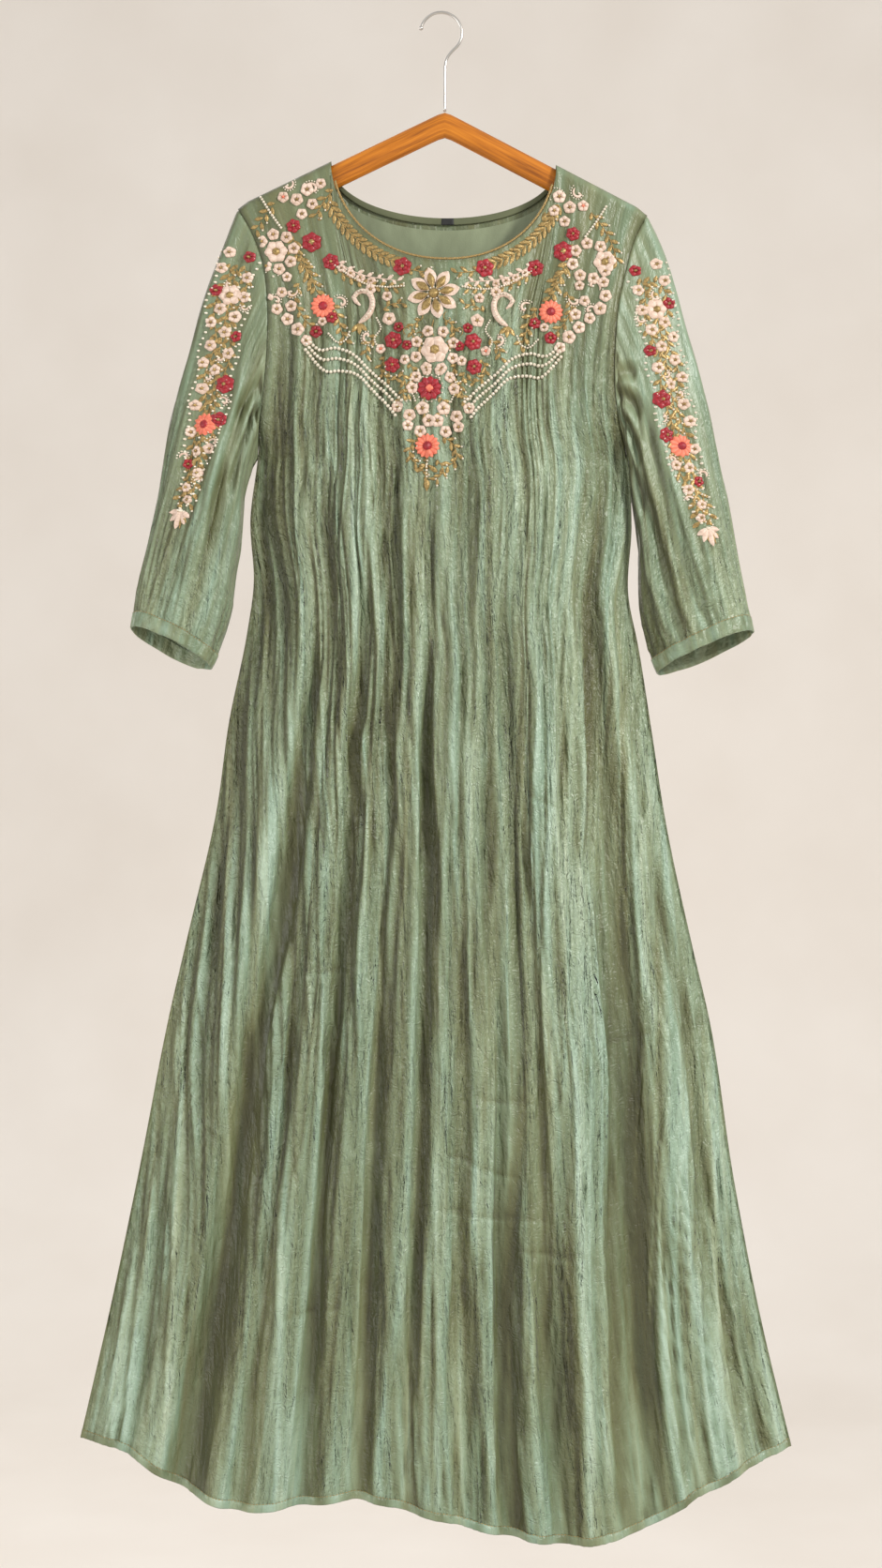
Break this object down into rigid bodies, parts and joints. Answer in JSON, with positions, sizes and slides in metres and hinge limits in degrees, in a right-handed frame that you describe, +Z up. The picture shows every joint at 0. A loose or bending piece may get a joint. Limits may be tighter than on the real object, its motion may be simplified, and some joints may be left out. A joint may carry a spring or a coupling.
{
  "type": "flared dress on its hanger",
  "caption": "Flared full-length dress with raised flowers on its yoke and sleeves, hanging on a wooden hanger with a wire hook.",
  "frame": {"origin": "inside top of the hanger's hook, where a rail or wall hook carries it", "axes": "+Z up, -Y towards the front of the dress, +X towards the right-hand side of the front view"},
  "size_m": [0.686, 0.1061, 1.4601],
  "materials": {
    "silk": "crushed two-tone tissue silk, soft sheen",
    "lining": "plain woven lining, satin",
    "facing": "plain woven binding, matt",
    "piping": "metallic thread cord, satin",
    "label": "woven tape, matt",
    "wood": "clear varnished beech, satin",
    "steel": "bright wire",
    "cream": "pearl and thread embroidery",
    "coral": "satin stitch embroidery",
    "crimson": "bead and thread embroidery"
  },
  "bodies": {
    "root": {"front_panel": "silk", "back_panel": "silk", "sleeve_left": "silk", "sleeve_right": "silk", "cuff_band_left": "silk", "cuff_band_right": "silk", "front_lining": "lining", "back_lining": "lining", "back_neck_facing": "facing", "neck_piping": "piping", "neck_label": "label", "hanger_wood": "wood", "hanger_hook": "steel", "star_flower": "cream", "cream_flower_left": "cream", "cream_flower_right": "cream", "cream_flower_centre": "cream", "sleeve_left_cream_flower": "cream", "sleeve_right_cream_flower": "cream", "coral_flower_centre": "coral", "coral_flower_left": "coral", "coral_flower_right": "coral", "sleeve_left_coral_flower": "coral", "sleeve_right_coral_flower": "coral", "red_flower_centre": "crimson", "red_flower_left": "crimson", "red_flower_right": "crimson"}
  },
  "joints": []
}
